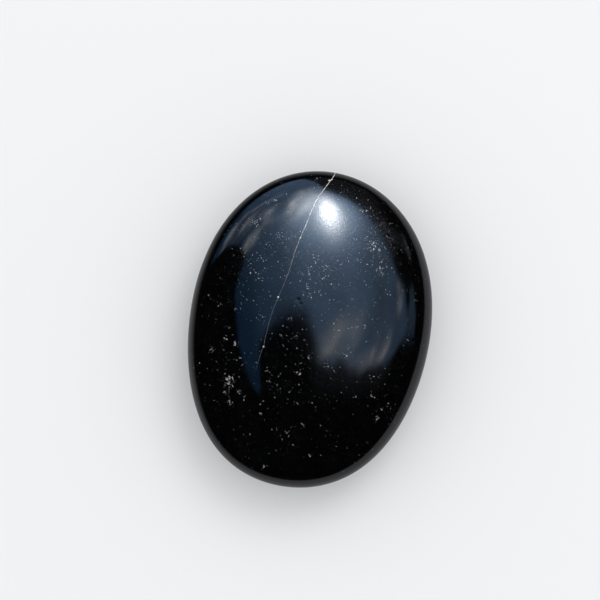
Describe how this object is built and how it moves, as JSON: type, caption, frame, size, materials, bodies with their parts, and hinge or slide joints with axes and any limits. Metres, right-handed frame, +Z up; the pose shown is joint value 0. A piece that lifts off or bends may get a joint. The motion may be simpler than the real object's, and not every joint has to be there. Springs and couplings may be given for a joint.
{
  "type": "palm stone",
  "caption": "Oval polished black pebble with a domed face, held in the palm, resting on a small flat spot underneath.",
  "frame": {"origin": "on the surface that the stone rests on, under the middle of its outline", "axes": "+Y along the outline's long axis, towards its slightly fuller end; +Z up through the domed face"},
  "size_m": [0.0544, 0.072, 0.024],
  "materials": {
    "polished_stone": "near-black natural stone, polished to a mirror gloss, with small pale flecks and one thin beige vein"
  },
  "bodies": {
    "root": {"stone": "polished_stone"}
  },
  "joints": []
}
